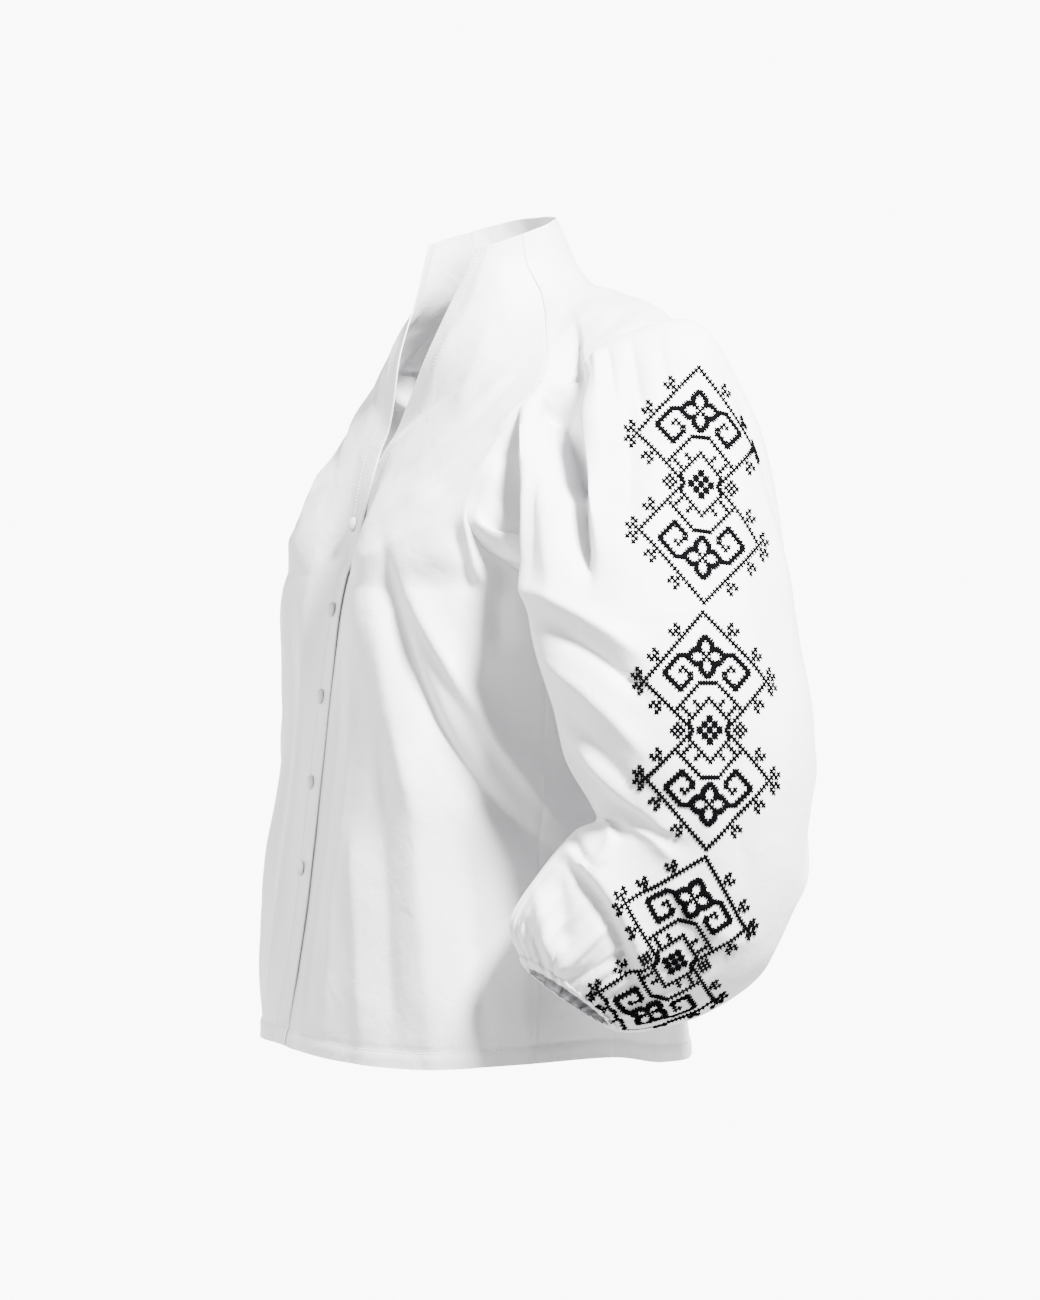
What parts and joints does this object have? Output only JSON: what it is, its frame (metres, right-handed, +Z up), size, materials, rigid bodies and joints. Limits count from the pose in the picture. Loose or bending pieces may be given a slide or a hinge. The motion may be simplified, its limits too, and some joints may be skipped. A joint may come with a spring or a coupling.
{
  "type": "tunic shirt",
  "caption": "Hollow tunic blouse with a funnel collar and deep V front, cloth-covered buttons, and full balloon sleeves gathered into elastic cuffs.",
  "frame": {"origin": "middle of the neck opening at the height of the nape, where the wearer carries the blouse", "axes": "+X to the wearer's left, +Y to the back, +Z up"},
  "size_m": [0.6974, 0.3453, 0.6712],
  "materials": {
    "cotton": "white cotton poplin with a soft sheen",
    "buttons": "buttons covered in the same white cotton"
  },
  "bodies": {
    "root": {"front_left": "cotton", "front_right": "cotton", "side_left": "cotton", "side_right": "cotton", "yoke": "cotton", "back": "cotton", "sleeve_left": "cotton", "sleeve_right": "cotton", "cuff_left": "cotton", "cuff_right": "cotton", "button_1": "buttons", "button_2": "buttons", "button_3": "buttons", "button_4": "buttons", "button_5": "buttons"}
  },
  "joints": []
}
